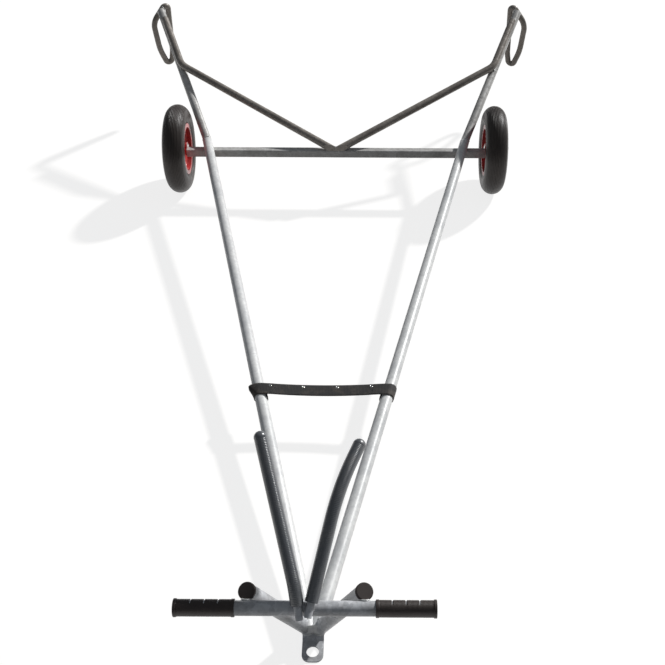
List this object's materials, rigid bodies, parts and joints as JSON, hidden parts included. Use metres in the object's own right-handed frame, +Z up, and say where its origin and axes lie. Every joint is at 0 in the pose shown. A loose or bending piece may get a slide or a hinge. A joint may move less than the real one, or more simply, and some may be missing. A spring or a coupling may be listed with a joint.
{
  "type": "boat launching trolley",
  "caption": "Galvanised hand trolley for launching a dinghy: long A-shaped tube frame on an axle with pneumatic wheels, gunwale loops behind, bow posts and a T handle in front.",
  "frame": {"origin": "on the ground, at the middle of the whole trolley's outline in X and Y", "axes": "+X to the trolley's side that is on the right of the picture, +Y from the handle back to the wheels and loops, +Z up"},
  "size_m": [1.8874, 3.5676, 0.6974],
  "materials": {
    "galvanised_steel": "hot dip galvanised, dull grey with a faint spangle",
    "zinc_plate": "bright zinc plate",
    "red_paint": "satin red paint",
    "tyre_rubber": "matt black rubber",
    "black_rubber": "matt black rubber",
    "sleeve_plastic": "dark grey, finely ribbed, glossy",
    "strap_webbing": "black woven webbing"
  },
  "bodies": {
    "frame": {"axle_beam": "galvanised_steel", "axle_stub_left": "zinc_plate", "axle_stub_right": "zinc_plate", "inner_washer_left": "zinc_plate", "inner_washer_right": "zinc_plate", "outer_washer_left": "zinc_plate", "outer_washer_right": "zinc_plate", "wheel_pin_left": "zinc_plate", "wheel_pin_right": "zinc_plate", "gunwale_loop_left": "galvanised_steel", "gunwale_loop_right": "galvanised_steel", "rear_arm_left": "galvanised_steel", "rear_arm_right": "galvanised_steel", "handle_arm_left": "galvanised_steel", "handle_arm_right": "galvanised_steel", "side_rail_left": "galvanised_steel", "side_rail_right": "galvanised_steel", "rear_brace_left": "galvanised_steel", "rear_brace_right": "galvanised_steel", "tow_eye_plate": "galvanised_steel", "bow_post_left": "galvanised_steel", "bow_post_right": "galvanised_steel", "bow_sleeve_left": "sleeve_plastic", "bow_sleeve_right": "sleeve_plastic", "handle_bar": "galvanised_steel", "handle_grip_left": "black_rubber", "handle_grip_right": "black_rubber", "arm_cap_left": "black_rubber", "arm_cap_right": "black_rubber", "bow_strap": "strap_webbing"},
    "wheel_left": {"tyre_left": "tyre_rubber", "rim_left": "red_paint", "hub_left": "red_paint"},
    "wheel_right": {"tyre_right": "tyre_rubber", "rim_right": "red_paint", "hub_right": "red_paint"}
  },
  "joints": [
    {"name": "wheel_left_turn", "type": "hinge", "parent": "frame", "child": "wheel_left", "pos_m": [-0.726, 0.94777, 0.2], "axis": [1, 0, 0], "continuous": true},
    {"name": "wheel_right_turn", "type": "hinge", "parent": "frame", "child": "wheel_right", "pos_m": [0.726, 0.94777, 0.2], "axis": [1, 0, 0], "continuous": true}
  ]
}
